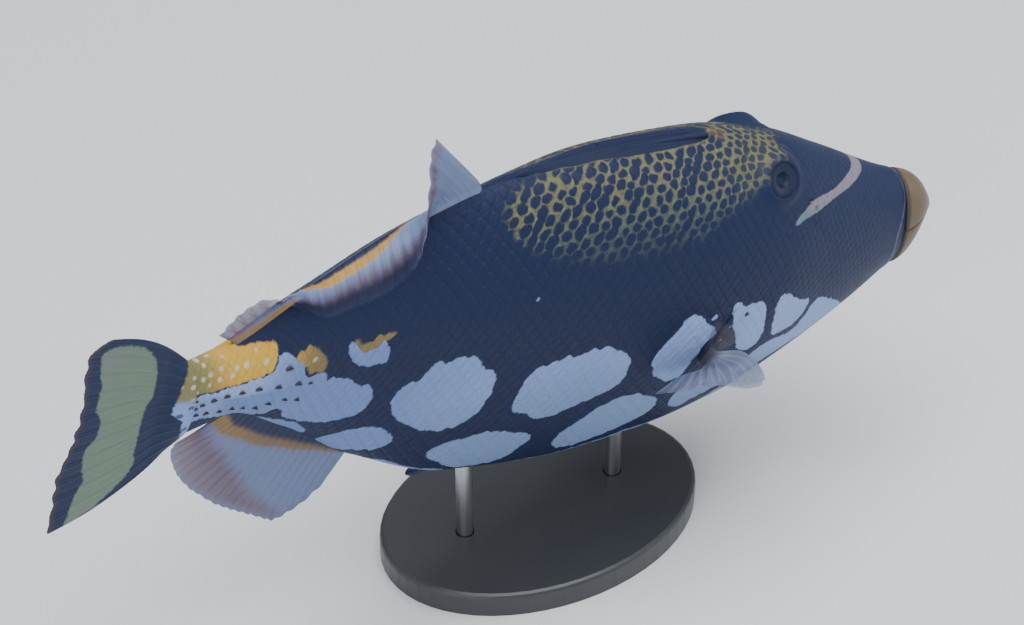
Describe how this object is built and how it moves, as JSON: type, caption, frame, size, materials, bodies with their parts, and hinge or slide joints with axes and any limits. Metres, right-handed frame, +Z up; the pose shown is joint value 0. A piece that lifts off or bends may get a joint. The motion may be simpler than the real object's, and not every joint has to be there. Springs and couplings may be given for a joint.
{
  "type": "clown triggerfish display model",
  "caption": "Life-size clown triggerfish swimming nose-down with its tail curved aside, held above a flat oval base by short rods.",
  "frame": {"origin": "middle of the stand base's flat underside", "axes": "+X toward the fish's head, +Y toward its left side, +Z up"},
  "size_m": [0.2871, 0.0883, 0.1596],
  "materials": {
    "skin": "black skin painted with white blotches, a yellow network and a yellow tail stalk, satin",
    "lips": "orange lips, satin",
    "eye": "dark glossy eye",
    "tail_fin": "black fin with a pale yellow-green panel, satin",
    "pale_fin": "whitish fin with an orange root and a pink rayed edge, satin",
    "clear_fin": "grey half-clear fin, satin",
    "rod": "brushed steel",
    "base": "dark satin paint on steel"
  },
  "bodies": {
    "root": {"head": "skin", "torso": "skin", "tail_stalk": "skin", "first_dorsal_fin": "skin", "pelvic_spine": "skin", "upper_lip": "lips", "lower_lip": "lips", "eye_left": "eye", "eye_right": "eye", "caudal_fin": "tail_fin", "second_dorsal_fin": "pale_fin", "anal_fin": "pale_fin", "pectoral_fin_left": "clear_fin", "pectoral_fin_right": "clear_fin", "stand_base": "base", "stand_rod_front": "rod", "stand_rod_rear": "rod"}
  },
  "joints": []
}
